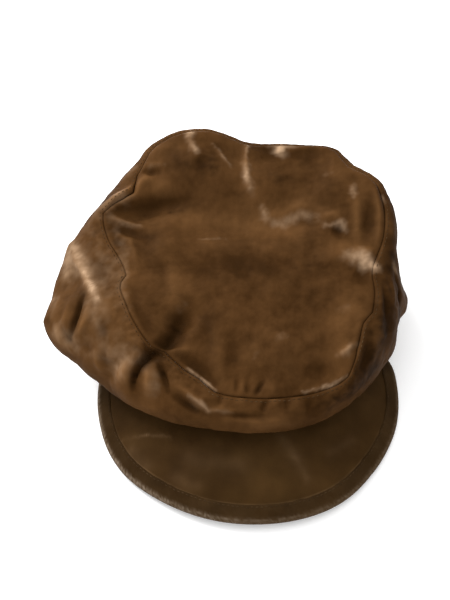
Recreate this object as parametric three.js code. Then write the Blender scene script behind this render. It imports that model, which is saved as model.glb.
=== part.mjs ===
// Soft kepi cap lying on a flat surface: a floppy cloth crown of a top panel and a side panel,
// sewn to an upright head band, and a stiff peak whose rim is wrapped in a cloth binding.
// Millimetres, +Z up, the peak points to -Y, and +X is to the right of someone facing the peak.
// The cap stands on the back of its band and on the two sides of its peak, which lift the band's front.

import * as THREE from "three";
import { mergeVertices } from "three/addons/utils/BufferGeometryUtils.js";

// Head opening and band
const HEAD_LENGTH = 194; // inside the band, front to back
const HEAD_WIDTH = 160; // inside the band, side to side
const BAND_HEIGHT = 30;
const BAND_WALL = 2.4;
const FRONT_LIFT = 27; // how far the peak lifts the front of the band's lower edge
const CROWN_LIFT = 20; // how far its upper edge, under the crown, is lifted there
const LIFT_STARTS = 0.03; // share of the opening's length in front of its middle

// Cloth crown
const CLOTH_WALL = 1.6;
const SEAM_GAP = 0.3; // clearance between sewn pieces
const SEAM_TILT = Math.PI / 6; // lean of the cloth's edges at the top seam
const CROWN_OVERHANG = 50; // unit of the side panel's reach past the band
const SIDE_LEAN = 50; // unit of the seam's distance in from the side panel's outer fold
const CROWN_HEIGHT = 56; // unit of height above the band's top edge
const TOP_REACH = 100; // unit of the places and sizes of the dents in the top panel

// How the crown's cloth bends, as shares of the distance from one held point to the next
const SEAM_STIFFNESS = 0.4; // leaves the seam outwards
const FOLD_STIFFNESS = 0.45; // runs into the outer fold from above
const HANG_STIFFNESS = 0.5; // runs on below the outer fold
const HEM_STIFFNESS = 0.45; // comes in to the band's top
const UNDERTURN = 1.1; // rise from under the fold to the band's top
const SEAM_HOLD = 0.25; // share of the way over which a seam keeps the cloth even
const HEM_HOLD = 0.5;
const BUMP_EDGE = 1.4; // how quickly a dent or a fold dies away

// Peak and its binding
const PEAK_REACH = 53.5; // in front of the band, to the rim of the board
const PEAK_WIDTH = 206; // over the board, without its binding
const PEAK_BOARD = 2.4;
const PEAK_WIDEST = 0.27; // share of the opening's length in front of its middle
const PEAK_ROOT_HALF = 74; // degrees each side of the front
const PEAK_RIM_HALF = 108; // degrees each side of the front, round the rim's own middle
const PEAK_ROOT_UP = 3; // above the band's lower edge, to the middle of the board
const PEAK_ARCH = 5; // how far the front of the rim stands over its sides
const PEAK_CAMBER = 3;
const PEAK_DRIFT = 4; // the worn front of the rim lies this far to the right
const PEAK_SQUARENESS = 2.06; // 2 is an ellipse
const PEAK_END = 0.9; // share of each side at which the ends start to draw in
const PEAK_END_CUT = 0.15; // share of the reach that they lose
const BINDING_WIDTH = 9.5;
const BINDING_WALL = 1;
const BINDING_MOST = 0.8; // most of the board's reach that the binding may cover
const BINDING_NOSE = 0.6; // height of its blunt nose, as a share of the board's

// How finely the shapes are divided
const COLUMNS = 96; // round the crown and the band
const TOP_RINGS = 8;
const SIDE_STEPS = 6; // on each side of the outer fold
const PEAK_STATIONS = 40;
const PEAK_STEPS = 5;

// The crown round the head, at every 15 degrees from the right side (0) over the back (90) and
// the left side (180) to the front (270). reach: outer fold past the band, of CROWN_OVERHANG.
// foldUp and seamUp: heights over the band's top edge, of CROWN_HEIGHT. lean: of SIDE_LEAN.
const SECTION_STEP = 15;
const SECTIONS = [
  { reach: 0.44, foldUp: 0.3, lean: 0.42, seamUp: 0.84 },
  { reach: 0.5, foldUp: 0.48, lean: 0.26, seamUp: 0.93 },
  { reach: 0.61, foldUp: 0.55, lean: 0.2, seamUp: 0.98 },
  { reach: 0.57, foldUp: 0.54, lean: 0.14, seamUp: 0.98 },
  { reach: 0.44, foldUp: 0.48, lean: 0.1, seamUp: 0.96 },
  { reach: 0.26, foldUp: 0.44, lean: 0.12, seamUp: 0.95 },
  { reach: 0.22, foldUp: 0.42, lean: 0.12, seamUp: 0.94 },
  { reach: 0.52, foldUp: 0.45, lean: 0.14, seamUp: 1.03 },
  { reach: 0.68, foldUp: 0.5, lean: 0.16, seamUp: 1.0 },
  { reach: 0.69, foldUp: 0.52, lean: 0.34, seamUp: 0.92 },
  { reach: 0.74, foldUp: 0.52, lean: 0.3, seamUp: 0.91 },
  { reach: 0.88, foldUp: 0.45, lean: 0.54, seamUp: 0.89 },
  { reach: 1.03, foldUp: 0.34, lean: 0.92, seamUp: 0.85 },
  { reach: 1.1, foldUp: 0.2, lean: 1.03, seamUp: 0.76 },
  { reach: 0.76, foldUp: 0.02, lean: 0.76, seamUp: 0.62 },
  { reach: 0.5, foldUp: -0.06, lean: 0.61, seamUp: 0.45 },
  { reach: 0.35, foldUp: -0.06, lean: 0.55, seamUp: 0.31 },
  { reach: 0.23, foldUp: -0.05, lean: 0.4, seamUp: 0.2 },
  { reach: 0.2, foldUp: -0.05, lean: 0.38, seamUp: 0.15 },
  { reach: 0.25, foldUp: -0.05, lean: 0.35, seamUp: 0.18 },
  { reach: 0.28, foldUp: -0.06, lean: 0.22, seamUp: 0.26 },
  { reach: 0.31, foldUp: -0.08, lean: 0.19, seamUp: 0.42 },
  { reach: 0.37, foldUp: -0.06, lean: 0.36, seamUp: 0.6 },
  { reach: 0.44, foldUp: 0.1, lean: 0.41, seamUp: 0.75 },
];

// Puffs and hollows of the top panel. right, back: middle, of TOP_REACH from the head's axis.
// long, wide: half sizes, of TOP_REACH. turn: degrees. up: of CROWN_HEIGHT.
const TOP_DENTS = [
  { right: 0.0, back: 0.66, long: 0.62, wide: 0.2, turn: 0, up: 0.12 },
  { right: -0.36, back: 0.86, long: 0.26, wide: 0.16, turn: -15, up: 0.1 },
  { right: 0.6, back: 0.5, long: 0.3, wide: 0.16, turn: 70, up: 0.06 },
  { right: -0.72, back: 0.5, long: 0.32, wide: 0.1, turn: 12, up: -0.13 },
  { right: 0.05, back: 0.36, long: 0.55, wide: 0.12, turn: 4, up: -0.07 },
  { right: -0.55, back: 0.22, long: 0.3, wide: 0.14, turn: 80, up: 0.07 },
  { right: 0.05, back: -0.1, long: 0.5, wide: 0.34, turn: 0, up: 0.03 },
  { right: -0.42, back: -0.36, long: 0.16, wide: 0.1, turn: 35, up: -0.12 },
  { right: 0.6, back: 0.08, long: 0.2, wide: 0.1, turn: 25, up: 0.05 },
];

// Folds of the side panel. at: degrees. down: 0 at the seam, 1 at the outer fold, 2 at the band.
// spread: half size round the cap, in degrees. drop: half size down the panel. slant: degrees
// that the fold moves round for each 1 down. out: of CROWN_OVERHANG.
const SIDE_FOLDS = [
  { at: 186, down: 0.55, spread: 13, drop: 0.2, slant: 0, out: -0.1 },
  { at: 170, down: 0.65, spread: 6, drop: 0.5, slant: -16, out: 0.04 },
  { at: 153, down: 0.7, spread: 8, drop: 0.6, slant: 0, out: -0.05 },
  { at: 217, down: 0.6, spread: 5, drop: 0.6, slant: -6, out: -0.13 },
  { at: 226, down: 0.6, spread: 4, drop: 0.4, slant: 0, out: 0.06 },
  { at: 235, down: 0.5, spread: 5, drop: 0.4, slant: 4, out: -0.06 },
  { at: 345, down: 1.0, spread: 6, drop: 0.7, slant: 6, out: -0.05 },
  { at: 0, down: 1.25, spread: 7, drop: 0.35, slant: 0, out: 0.12 },
  { at: 12, down: 1.2, spread: 5, drop: 0.6, slant: 0, out: -0.1 },
  { at: 70, down: 1.1, spread: 8, drop: 0.8, slant: 0, out: -0.08 },
  { at: 110, down: 1.2, spread: 9, drop: 0.7, slant: 5, out: -0.08 },
  { at: 200, down: 1.4, spread: 8, drop: 0.3, slant: 0, out: -0.07 },
];

const radians = THREE.MathUtils.degToRad;
const mix = THREE.MathUtils.lerp;
const smooth = THREE.MathUtils.smoothstep;

// Distance of the opening's inner wall from the head's axis, at an angle in degrees, grown outwards.
function headRadius(degrees, grow) {
  const across = HEAD_WIDTH / 2 + grow;
  const along = HEAD_LENGTH / 2 + grow;
  const a = radians(degrees);
  return (across * along) / Math.hypot(along * Math.cos(a), across * Math.sin(a));
}

function polar(degrees, radius, height) {
  const a = radians(degrees);
  return new THREE.Vector3(radius * Math.cos(a), radius * Math.sin(a), height);
}

// How far the band has risen from the surface: 0 behind, and evenly up to 1 at the front.
function bandRise(degrees) {
  const along = HEAD_LENGTH / 2 + BAND_WALL;
  const forward = -polar(degrees, headRadius(degrees, BAND_WALL), 0).y / along;
  return Math.max(0, (forward - LIFT_STARTS) / (1 - LIFT_STARTS));
}

// Height of the band's lower edge.
function bandLift(degrees) {
  return FRONT_LIFT * bandRise(degrees);
}

// A column of the table of sections at any angle, as a smooth closed curve through its rows.
function section(column, degrees) {
  const rows = SECTIONS.length;
  const place = (((degrees / SECTION_STEP) % rows) + rows) % rows;
  const first = Math.floor(place);
  const t = place - first;
  const [a, b, c, d] = [-1, 0, 1, 2].map((k) => SECTIONS[(first + k + rows) % rows][column]);
  const bend = 2 * a - 5 * b + 4 * c - d + t * (3 * (b - c) + d - a);
  return b + 0.5 * t * (c - a + t * bend);
}

function bandTop(degrees) {
  return BAND_HEIGHT + CROWN_LIFT * bandRise(degrees);
}

function foldPoint(degrees) {
  const radius = headRadius(degrees, BAND_WALL) + CROWN_OVERHANG * section("reach", degrees);
  return polar(degrees, radius, bandTop(degrees) + CROWN_HEIGHT * section("foldUp", degrees));
}

function seamPoint(degrees) {
  const reach = CROWN_OVERHANG * section("reach", degrees) - SIDE_LEAN * section("lean", degrees);
  const radius = headRadius(degrees, BAND_WALL) + reach;
  return polar(degrees, radius, bandTop(degrees) + CROWN_HEIGHT * section("seamUp", degrees));
}

// A bump of height 1 at its middle that has all but faded away at twice its half size.
function bump(u, v) {
  return Math.exp(-BUMP_EDGE * (u * u + v * v));
}

function topPoint(degrees, share) {
  const seam = seamPoint(degrees);
  const middle = topMiddle();
  const p = middle.clone().lerp(seam, share);
  p.z = mix(middle.z, seam.z, share * share);
  for (const d of TOP_DENTS) {
    const turn = radians(d.turn);
    const x = p.x / TOP_REACH - d.right;
    const y = p.y / TOP_REACH - d.back;
    const u = (x * Math.cos(turn) + y * Math.sin(turn)) / d.long;
    const v = (y * Math.cos(turn) - x * Math.sin(turn)) / d.wide;
    p.z += CROWN_HEIGHT * d.up * bump(u, v) * smooth(1 - share, 0, SEAM_HOLD);
  }
  return p;
}

// Middle of the top panel: over the middle of its seam, and at the seam's mean height.
function topMiddle() {
  const sides = [0, 90, 180, 270].map(seamPoint);
  const middle = new THREE.Vector3((sides[0].x + sides[2].x) / 2, (sides[1].y + sides[3].y) / 2, 0);
  middle.z = sides.reduce((sum, s) => sum + s.z, 0) / sides.length;
  return middle;
}

// Cubic between two points that leaves and arrives in given directions, at a share of the way.
function cubic(from, leave, to, arrive, t) {
  const one = from.clone().add(leave);
  const two = to.clone().sub(arrive);
  return new THREE.CubicBezierCurve3(from, one, two, to).getPoint(t);
}

// The side panel's outer face: from the seam (0) over the outer fold (1) to the band's top (2).
// Where the fold hangs lower than the band's top, the cloth turns under it and comes back up.
function sidePoint(degrees, down) {
  const out = polar(degrees, 1, 0);
  const seam = seamPoint(degrees);
  const fold = foldPoint(degrees);
  const hem = hemPoint(degrees, BAND_WALL + CLOTH_WALL, 0);
  let p;
  if (down <= 1) {
    const leave = out.clone().multiplyScalar(SEAM_STIFFNESS * fold.distanceTo(seam));
    const fall = FOLD_STIFFNESS * (fold.z - seam.z);
    p = cubic(seam, leave, fold, new THREE.Vector3(0, 0, fall), down);
  } else {
    const reach = Math.hypot(fold.x - hem.x, fold.y - hem.y);
    const free = Math.hypot(reach, Math.max(0, fold.z - hem.z));
    const hang = HANG_STIFFNESS * Math.min(free, fold.z);
    const arrive = out.clone().multiplyScalar(-HEM_STIFFNESS * reach);
    arrive.z = UNDERTURN * Math.max(0, hem.z - fold.z);
    p = cubic(fold, new THREE.Vector3(0, 0, -hang), hem, arrive, down - 1);
  }
  let push = 0;
  for (const f of SIDE_FOLDS) {
    const round = ((degrees - f.at - f.slant * (down - f.down) + 540) % 360) - 180;
    push += f.out * bump(round / f.spread, (down - f.down) / f.drop);
  }
  const held = smooth(down, 0, SEAM_HOLD) * smooth(2 - down, 0, HEM_HOLD);
  return p.addScaledVector(out, CROWN_OVERHANG * push * held);
}

// A place on the panel's lap over the band's top edge, and a height over the lap's lower face.
function hemPoint(degrees, grow, height) {
  return polar(degrees, headRadius(degrees, grow), bandTop(degrees) + SEAM_GAP + height);
}

// How far to each side of a place the slope of each face is felt, and the ends it is kept between.
const TOP_PROBE = { degrees: 2, down: 0.05, low: 0.06, high: 1 };
const SIDE_PROBE = { degrees: 1, down: 0.02, low: 0.02, high: 1.98 };

// Unit normal of a face of the crown at an angle and a place down it.
function normalOf(face, degrees, down, probe) {
  const place = THREE.MathUtils.clamp(down, probe.low, probe.high);
  const round = face(degrees + probe.degrees, place).sub(face(degrees - probe.degrees, place));
  const along = face(degrees, place + probe.down).sub(face(degrees, place - probe.down));
  return along.cross(round).normalize();
}

// Closed geometry from loops of points. "ring" joins the last loop to the first. "ends" closes the
// first and last loop, each folded flat so that its first half lies beside its second half.
function loft(loops, closing) {
  const size = loops[0].length;
  const points = loops.flat();
  const faces = [];
  const bands = closing === "ring" ? loops.length : loops.length - 1;
  for (let i = 0; i < bands; i++) {
    const low = i * size;
    const high = ((i + 1) % loops.length) * size;
    for (let j = 0; j < size; j++) {
      const k = (j + 1) % size;
      faces.push([low + j, low + k, high + k], [low + j, high + k, high + j]);
    }
  }
  if (closing === "ends") {
    const last = (loops.length - 1) * size;
    for (let j = 0; j < size / 2 - 1; j++) {
      const [a, b, c, d] = [j, j + 1, size - 2 - j, size - 1 - j];
      faces.push([c, b, a], [d, c, a], [last + a, last + b, last + c], [last + a, last + c, last + d]);
    }
  }
  return closedGeometry(points, faces);
}

// Merged geometry from points and triangles, without the triangles that a shared point collapses.
function closedGeometry(points, faces) {
  const flat = new THREE.BufferGeometry().setFromPoints(points);
  flat.setIndex(faces.flat());
  const merged = mergeVertices(flat, 1e-3);
  const index = merged.index.array;
  const kept = [];
  for (let i = 0; i < index.length; i += 3) {
    const [a, b, c] = [index[i], index[i + 1], index[i + 2]];
    if (a !== b && b !== c && c !== a) kept.push([a, b, c]);
  }
  const inward = signedVolume(merged, kept) < 0;
  merged.setIndex(kept.flatMap(([a, b, c]) => (inward ? [a, c, b] : [a, b, c])));
  merged.computeVertexNormals();
  return merged;
}

function signedVolume(geometry, faces) {
  const corner = (i) => new THREE.Vector3().fromBufferAttribute(geometry.getAttribute("position"), i);
  return faces.reduce((sum, [a, b, c]) => sum + corner(a).dot(corner(b).cross(corner(c))), 0) / 6;
}

const angles = Array.from({ length: COLUMNS }, (_, i) => (i * 360) / COLUMNS);

// Direction of a seam's wall: between up and outwards, the same for the two pieces that meet there.
function seamWall(degrees) {
  return polar(degrees, 1, 0).multiplyScalar(Math.sin(SEAM_TILT)).setZ(Math.cos(SEAM_TILT));
}

// Direction across the seam, outwards and down, square to its wall.
function seamAcross(degrees) {
  return polar(degrees, 1, 0).multiplyScalar(Math.cos(SEAM_TILT)).setZ(-Math.sin(SEAM_TILT));
}

// Top panel: rings of its outer face out to the seam, then rings of its inner face back.
function topPanel() {
  const outer = [];
  const inner = [];
  for (let ring = 0; ring <= TOP_RINGS; ring++) {
    const share = ring / TOP_RINGS;
    const faces = angles.map((degrees) => {
      const p = topPoint(degrees, share);
      const wall = normalOf(topPoint, degrees, share, TOP_PROBE);
      if (ring === 0) wall.set(0, 0, 1);
      if (ring === TOP_RINGS) {
        wall.copy(seamWall(degrees));
        p.addScaledVector(seamAcross(degrees), -SEAM_GAP / 2);
      }
      return [p, p.clone().addScaledVector(wall, -CLOTH_WALL)];
    });
    outer.push(faces.map((f) => f[0]));
    inner.push(faces.map((f) => f[1]));
  }
  return loft([...outer, ...inner.reverse()], "open");
}

// Side panel: its outer face from the seam over the fold to the band, then its inner face back.
function sidePanel() {
  const steps = 2 * SIDE_STEPS;
  const outer = [];
  const inner = [];
  for (let i = 0; i <= steps; i++) {
    const down = (2 * i) / steps;
    const faces = angles.map((degrees) => {
      const p = sidePoint(degrees, down);
      const wall = normalOf(sidePoint, degrees, down, SIDE_PROBE);
      if (i === 0) {
        wall.copy(seamWall(degrees));
        p.addScaledVector(seamAcross(degrees), SEAM_GAP / 2);
      }
      if (i === steps) {
        const lap = new THREE.Vector3(0, 0, -1);
        wall.add(lap).divideScalar(wall.dot(lap));
      }
      return [p, p.clone().addScaledVector(wall, -CLOTH_WALL)];
    });
    outer.push(faces.map((f) => f[0]));
    inner.push(faces.map((f) => f[1]));
  }
  const hem = (height) => angles.map((degrees) => hemPoint(degrees, 0, height));
  return loft([...outer, hem(0), hem(CLOTH_WALL), ...inner.reverse()], "ring");
}

function headBand() {
  const corner = (grow, edge) =>
    angles.map((degrees) => polar(degrees, headRadius(degrees, grow), edge(degrees)));
  const loops = [
    corner(0, bandLift),
    corner(BAND_WALL, bandLift),
    corner(BAND_WALL, bandTop),
    corner(0, bandTop),
  ];
  return loft(loops, "ring");
}

const BINDING_HALF = PEAK_BOARD / 2 + SEAM_GAP + BINDING_WALL;

// A place on the middle of the peak's board. side: -1 at its left end to 1 at its right end.
// share: 0 at the band to 1 at the rim, and a little over 1 in the binding.
function peakPoint(side, share) {
  const rootAngle = 270 + side * PEAK_ROOT_HALF;
  const root = polar(
    rootAngle,
    headRadius(rootAngle, BAND_WALL + SEAM_GAP),
    bandLift(rootAngle) + PEAK_ROOT_UP,
  );
  const rimAngle = radians(side * PEAK_RIM_HALF);
  const power = 2 / PEAK_SQUARENESS;
  const widestAt = PEAK_WIDEST * HEAD_LENGTH;
  const forward = HEAD_LENGTH / 2 + BAND_WALL + PEAK_REACH - widestAt;
  const curve = (value) => Math.sign(value) * Math.abs(value) ** power;
  const ahead = Math.max(0, Math.cos(rimAngle));
  const rim = new THREE.Vector3(
    (PEAK_WIDTH / 2) * curve(Math.sin(rimAngle)) + PEAK_DRIFT * ahead ** 2,
    -widestAt - forward * curve(Math.cos(rimAngle)),
    BINDING_HALF + PEAK_ARCH * ahead ** 2,
  );
  const corner = 1 - PEAK_END_CUT * smooth(Math.abs(side), PEAK_END, 1) ** 2;
  const p = root.clone().lerp(rim, share * corner);
  p.z += PEAK_CAMBER * 4 * share * Math.max(0, 1 - share) * (1 - side * side);
  return p;
}

function peakSides() {
  return Array.from({ length: PEAK_STATIONS + 1 }, (_, i) => (2 * i) / PEAK_STATIONS - 1);
}

function raised(p, height) {
  return p.clone().setZ(p.z + height);
}

function peakBoard() {
  const shares = Array.from({ length: PEAK_STEPS + 1 }, (_, i) => i / PEAK_STEPS);
  const half = PEAK_BOARD / 2;
  const loops = peakSides().map((side) => {
    const middle = shares.map((share) => peakPoint(side, share));
    return [...middle.map((p) => raised(p, half)), ...middle.toReversed().map((p) => raised(p, -half))];
  });
  return loft(loops, "ends");
}

// The binding is a channel round the board's rim. Its outline is in millimetres in from the rim
// and millimetres over the middle of the board: first the outer face, then the inner face.
function peakBinding() {
  const inside = BINDING_HALF - BINDING_WALL;
  const nose = -SEAM_GAP - BINDING_WALL;
  const outline = [
    [BINDING_WIDTH, BINDING_HALF],
    [0, BINDING_HALF],
    [nose, BINDING_NOSE * inside],
    [nose, -BINDING_NOSE * inside],
    [0, -BINDING_HALF],
    [BINDING_WIDTH, -BINDING_HALF],
    [BINDING_WIDTH, -inside],
    [0, -inside],
    [-SEAM_GAP, -inside],
    [-SEAM_GAP, inside],
    [0, inside],
    [BINDING_WIDTH, inside],
  ];
  const loops = peakSides().map((side) => {
    const reach = peakPoint(side, 1).distanceTo(peakPoint(side, 0));
    const width = Math.min(BINDING_WIDTH, BINDING_MOST * reach);
    return outline.map(([x, y]) => {
      const inward = x > 0 ? (x / BINDING_WIDTH) * width : x;
      return raised(peakPoint(side, 1 - inward / reach), y);
    });
  });
  return loft(loops, "ends");
}

const crownCloth = new THREE.MeshStandardMaterial({ color: 0x5c4024, roughness: 0.72, metalness: 0 });
const bandCloth = new THREE.MeshStandardMaterial({ color: 0x46301c, roughness: 0.8, metalness: 0 });
const peakCloth = new THREE.MeshStandardMaterial({ color: 0x43301b, roughness: 0.66, metalness: 0 });
const bindingCloth = new THREE.MeshStandardMaterial({ color: 0x4a3722, roughness: 0.7, metalness: 0 });

const cap = new THREE.Group();

function piece(name, geometry, material) {
  const mesh = new THREE.Mesh(geometry, material);
  mesh.name = name;
  cap.add(mesh);
}

piece("crown_top", topPanel(), crownCloth);
piece("crown_side", sidePanel(), crownCloth);
piece("head_band", headBand(), bandCloth);
piece("peak", peakBoard(), peakCloth);
piece("peak_binding", peakBinding(), bindingCloth);

// The origin is under the middle of the whole cap, on the surface that it lies on.
const extent = new THREE.Box3().setFromObject(cap);
const middle = extent.getCenter(new THREE.Vector3());
cap.position.set(-middle.x, -middle.y, -extent.min.z);

export default cap;
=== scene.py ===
import math

import bmesh
import bpy
import numpy as np
from mathutils import Matrix, Vector, noise
from mathutils.bvhtree import BVHTree


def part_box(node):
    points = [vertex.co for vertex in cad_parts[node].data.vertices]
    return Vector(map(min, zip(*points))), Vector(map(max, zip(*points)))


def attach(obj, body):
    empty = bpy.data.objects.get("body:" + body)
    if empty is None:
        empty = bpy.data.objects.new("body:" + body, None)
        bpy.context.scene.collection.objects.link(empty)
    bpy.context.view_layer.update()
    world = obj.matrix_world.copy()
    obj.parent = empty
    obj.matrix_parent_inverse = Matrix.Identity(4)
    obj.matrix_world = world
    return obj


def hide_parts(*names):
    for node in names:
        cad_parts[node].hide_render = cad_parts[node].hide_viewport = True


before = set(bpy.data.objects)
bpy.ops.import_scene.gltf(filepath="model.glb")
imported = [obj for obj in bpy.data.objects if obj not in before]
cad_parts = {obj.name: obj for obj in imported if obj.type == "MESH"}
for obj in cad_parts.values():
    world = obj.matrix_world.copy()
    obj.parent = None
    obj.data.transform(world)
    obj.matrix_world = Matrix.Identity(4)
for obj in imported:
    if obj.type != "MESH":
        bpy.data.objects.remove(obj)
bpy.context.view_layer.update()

# The surface that the cap lies on, the light and the camera.
# A seamless white table top, lit by one broad soft window light from the upper left and by white
# walls all round, so the cap has bright left folds, a dark right side and hardly any shadow.

MM = 0.001
TABLE_HALF = 4
TABLE_GLOW = 0.24
band_low, band_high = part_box("head_band")
HEAD_AXIS = Vector(((band_low.x + band_high.x) / 2, (band_low.y + band_high.y) / 2, 0))

table_bm = bmesh.new()
bmesh.ops.create_grid(table_bm, x_segments=1, y_segments=1, size=TABLE_HALF)
table_mesh = bpy.data.meshes.new("table_top")
table_bm.to_mesh(table_mesh)
table_bm.free()
table_top = bpy.data.objects.new("table_top", table_mesh)
bpy.context.scene.collection.objects.link(table_top)


class Wire:
    """One value in a material. Arithmetic on it adds the Math nodes that work it out."""

    def __init__(self, tree, socket):
        self.tree, self.socket = tree, socket

    def math(self, operation, *values):
        made = self.tree.nodes.new("ShaderNodeMath")
        made.operation = operation
        for put, value in zip(made.inputs, values):
            if isinstance(value, Wire):
                self.tree.links.new(value.socket, put)
            else:
                put.default_value = value
        return Wire(self.tree, made.outputs[0])

    def __add__(self, other):
        return self.math("ADD", self, other)

    def __sub__(self, other):
        return self.math("SUBTRACT", self, other)

    def __rsub__(self, other):
        return self.math("SUBTRACT", other, self)

    def __mul__(self, other):
        return self.math("MULTIPLY", self, other)

    __radd__ = __add__
    __rmul__ = __mul__

    def held(self):
        """The value, held between 0 and 1."""
        return self.math("MAXIMUM", self.math("MINIMUM", self, 1.0), 0.0)


class Finish:
    """A material, and the one way that its nodes are added. Output says which socket to read."""

    def __init__(self, name):
        self.material = bpy.data.materials.new(name)
        self.material.use_nodes = True
        self.tree = self.material.node_tree
        self.tree.nodes.clear()

    def node(self, kind, settings=None, values=None, output=0):
        made = self.tree.nodes.new(kind)
        for key, value in (settings or {}).items():
            setattr(made, key, value)
        for key, value in (values or {}).items():
            if isinstance(value, Wire):
                self.tree.links.new(value.socket, made.inputs[key])
            else:
                made.inputs[key].default_value = value
        return None if output is None else Wire(self.tree, made.outputs[output])

    def blend(self, share, first, second):
        """The first colour, or the second where the share is 1."""
        return self.node("ShaderNodeMix", {"data_type": "RGBA"}, {0: share, 6: first, 7: second}, 2)

    def surface(self, values):
        shader = self.node("ShaderNodeBsdfPrincipled", {}, values)
        self.node("ShaderNodeOutputMaterial", {}, {"Surface": shader}, None)
        return self.material


white_table = Finish("white_table")
table_mesh.materials.append(white_table.surface({
    "Base Color": (0.9, 0.9, 0.9, 1), "Roughness": 0.9,
    "Emission Color": (1, 1, 1, 1), "Emission Strength": TABLE_GLOW,
}))

# The camera looks straight at the front of the cap, from above.
AIM = Vector((-15.9, 7.3, 30)) * MM + HEAD_AXIS
ELEVATION = math.radians(54)
DISTANCE = 0.8797
camera_data = bpy.data.cameras.new("camera")
camera_data.lens = 75
camera_data.sensor_width = 36
camera_data.sensor_fit = "AUTO"
camera = bpy.data.objects.new("camera", camera_data)
toward_camera = Vector((0, -math.cos(ELEVATION), math.sin(ELEVATION)))
camera.location = AIM + toward_camera * DISTANCE
camera.rotation_euler = (math.pi / 2 - ELEVATION, 0, 0)
bpy.context.scene.collection.objects.link(camera)
bpy.context.scene.camera = camera
bpy.context.scene.view_settings.view_transform = "Standard"

WALL_LIGHT = 0.82
world = bpy.data.worlds.new("white_walls")
world.use_nodes = True
world.node_tree.nodes["Background"].inputs["Color"].default_value = (1, 1, 1, 1)
world.node_tree.nodes["Background"].inputs["Strength"].default_value = WALL_LIGHT
bpy.context.scene.world = world

# Lights: name, place and width in metres, and power in watts.
LIGHTS = (
    ("window", (-1.1, 1.15, 1.45), 1.6, 70),
    ("overhead", (-0.2, 0.0, 2.0), 1.6, 10),
    ("front_wall", (0.1, -1.5, 0.45), 1.4, 3.5),
)
for light_name, place, width, power in LIGHTS:
    light_data = bpy.data.lights.new(light_name, "AREA")
    light_data.shape = "DISK"
    light_data.size = width
    light_data.energy = power
    light = bpy.data.objects.new(light_name, light_data)
    light.location = place
    light.rotation_euler = (AIM - light.location).to_track_quat("-Z", "Y").to_euler()
    bpy.context.scene.collection.objects.link(light)

# Head band.
# The upright band that grips the head: a doubled strip of the same dyed cotton over a soft
# stiffener, sewn into a ring, with the crown sewn on above it and the peak below its front.

HEAD_LENGTH = 194  # inside the band, front to back, in millimetres as all sizes of the cap are
HEAD_WIDTH = 160
BAND_HEIGHT = 30
BAND_WALL = 2.4
FRONT_LIFT = 27  # how far the peak lifts the front of the band's lower edge
CROWN_LIFT = 20  # how far the band's upper edge is lifted there
LIFT_STARTS = 0.03  # share of the opening's length in front of its middle
SEAM_GAP = 0.3
FEEL = 0.0015  # share of a face that is felt to each side for the way it faces
SAME_PLACE = 1e-6
CHART_UNIT = 100
NOISE_APART = (17.3, 5.1, 29.7)


def smooth(value, low, high):
    t = np.clip((value - low) / (high - low), 0, 1)
    return t * t * (3 - 2 * t)


def head_radius(degrees, grow):
    """Distance of the band's inner wall from the head's axis, grown outwards."""
    across, along = HEAD_WIDTH / 2 + grow, HEAD_LENGTH / 2 + grow
    a = np.radians(degrees)
    return across * along / np.hypot(along * np.cos(a), across * np.sin(a))


def polar(degrees, radius, height):
    a = np.radians(degrees)
    return np.stack([radius * np.cos(a), radius * np.sin(a), height + 0 * a], -1)


def band_rise(degrees):
    """How far the band has risen from the table: 0 behind, and evenly up to 1 at the front."""
    forward = -head_radius(degrees, BAND_WALL) * np.sin(np.radians(degrees))
    forward = forward / (HEAD_LENGTH / 2 + BAND_WALL)
    return np.maximum(0, (forward - LIFT_STARTS) / (1 - LIFT_STARTS))


def band_lift(degrees):
    return FRONT_LIFT * band_rise(degrees)


def band_top(degrees):
    return BAND_HEIGHT + CROWN_LIFT * band_rise(degrees)


def crumple(places, size, octaves, seed):
    """Uneven heights from about -1 to 1 that change over the given size, in millimetres."""
    shift = Vector([seed * apart for apart in NOISE_APART])
    return np.array([
        noise.fractal(Vector(p) / size + shift, 1.0, 2.0, octaves, noise_basis="PERLIN_NEW")
        for p in places
    ])


def normals_of(face, u, v):
    """Unit normals of a face that is given by two shares, felt a little to each side."""
    round_it = face(u + FEEL, v) - face(u - FEEL, v)
    low, high = np.maximum(v - FEEL, 0), np.minimum(v + FEEL, 1)
    down_it = face(u, high) - face(u, low)
    cross = np.cross(down_it, round_it)
    return cross / np.maximum(np.linalg.norm(cross, axis=1), 1e-9)[:, None]


def pressed(face, relief, u, v, upright=False):
    """Places on a face, pushed out by its relief, or straight up where it lies flat."""
    places = face(u, v)
    if relief:
        out = np.array([(0, 0, 1)]) if upright else normals_of(face, u, v)
        places = places + out * relief(u, v, places)[:, None]
    return places


def flat_grid(columns, rows):
    """A grid over the square from -1 to 1, and the places of its corners."""
    made = bmesh.new()
    bmesh.ops.create_grid(made, x_segments=columns, y_segments=rows, size=1)
    made.verts.ensure_lookup_table()
    made.verts.index_update()
    return made, np.array([v.co for v in made.verts])


def charted(made, u_mm, v_mm):
    """Lays out the cloth's own map, which the weave follows."""
    chart = made.loops.layers.uv.verify()
    for sheet_face in made.faces:
        for loop in sheet_face.loops:
            i = loop.vert.index
            loop[chart].uv = (u_mm[i] / CHART_UNIT, v_mm[i] / CHART_UNIT)


def shaped(made, places, marks):
    """Moves the corners of a grid to their places, and gives them the marks of their dye, their wear
    and the light and shade painted on them.
    """
    for name, values in marks.items():
        layer = made.verts.layers.float.new(name)
        for vert, value in zip(made.verts, values):
            vert[layer] = float(value)
    for vert, place in zip(made.verts, places):
        vert.co = Vector(place) * MM + HEAD_AXIS


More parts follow.
